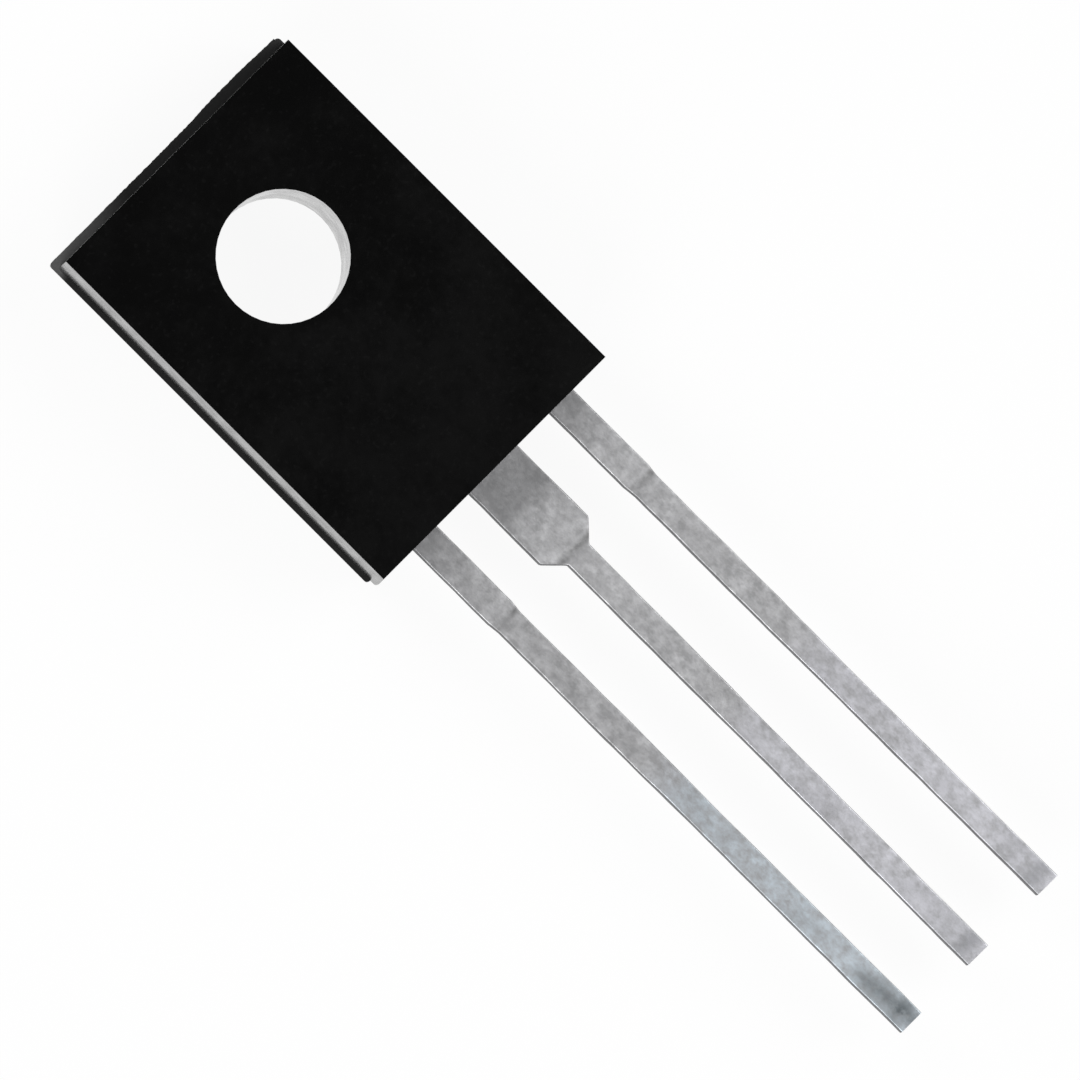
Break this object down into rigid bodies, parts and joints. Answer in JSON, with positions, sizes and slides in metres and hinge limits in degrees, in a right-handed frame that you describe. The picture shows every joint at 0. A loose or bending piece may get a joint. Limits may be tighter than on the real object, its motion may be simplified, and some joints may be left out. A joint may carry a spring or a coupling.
{
  "type": "bipolar transistor",
  "caption": "Flat black power transistor package with straight tinned leads, a mounting hole and a metal heat spreader in its back.",
  "frame": {"origin": "centre of the mounting hole, in the plane of the back face that goes against a heatsink", "axes": "+Z out of the front face along the mounting hole, +Y towards the end with the hole, leads along -Y"},
  "size_m": [0.0079, 0.0272, 0.0033],
  "materials": {
    "black_epoxy": "satin moulded epoxy",
    "tinned_copper": "dull tin plate on copper strip",
    "silicon": "polished silicon",
    "solder": "satin",
    "aluminium_wire": "bright drawn wire"
  },
  "bodies": {
    "root": {"case": "black_epoxy", "collector_frame": "tinned_copper", "emitter_lead": "tinned_copper", "base_lead": "tinned_copper", "transistor_die": "silicon", "die_solder": "solder", "emitter_bond_wire": "aluminium_wire", "base_bond_wire": "aluminium_wire"}
  },
  "joints": []
}
